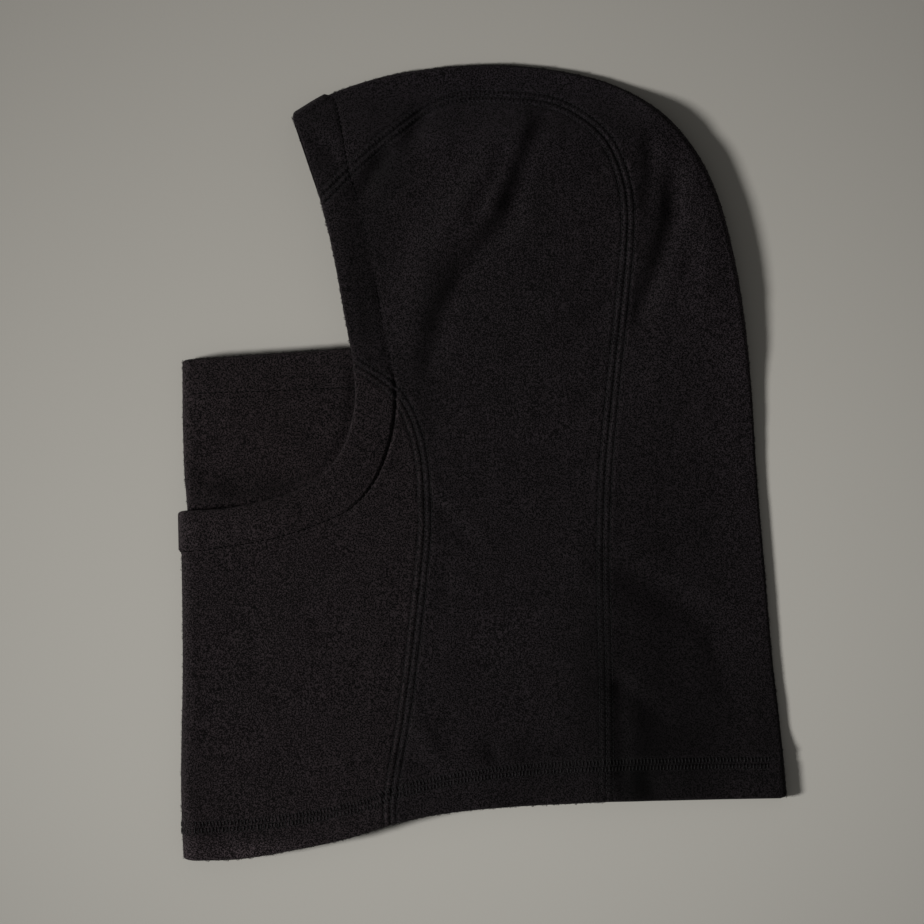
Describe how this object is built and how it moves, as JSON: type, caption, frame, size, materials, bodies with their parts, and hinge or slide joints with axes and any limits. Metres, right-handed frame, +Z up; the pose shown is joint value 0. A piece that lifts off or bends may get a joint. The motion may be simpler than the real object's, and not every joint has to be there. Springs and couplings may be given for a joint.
{
  "type": "balaclava",
  "caption": "Soft fleece balaclava laid flat on its side, with an open face, turned hems, an inner nose and mouth panel and an open neck.",
  "frame": {"origin": "on the surface the balaclava lies on, under the middle of its outline", "axes": "+X from the chin to the back of the head, +Y from the neck hem to the crown, +Z up out of the wearer's left side, which is on top"},
  "size_m": [0.2981, 0.3891, 0.0238],
  "materials": {
    "hood_fleece": "brushed microfleece, near-black, matte with a fine mottled nap",
    "front_fleece": "brushed microfleece, near-black and slightly warmer, matte with a fine mottled nap",
    "thread": "textured black sewing thread, slightly shinier than the fleece"
  },
  "bodies": {
    "root": {"crown_strip": "hood_fleece", "side_panel_left": "hood_fleece", "side_panel_right": "hood_fleece", "front_panel": "front_fleece", "mask_panel": "front_fleece"}
  },
  "joints": []
}
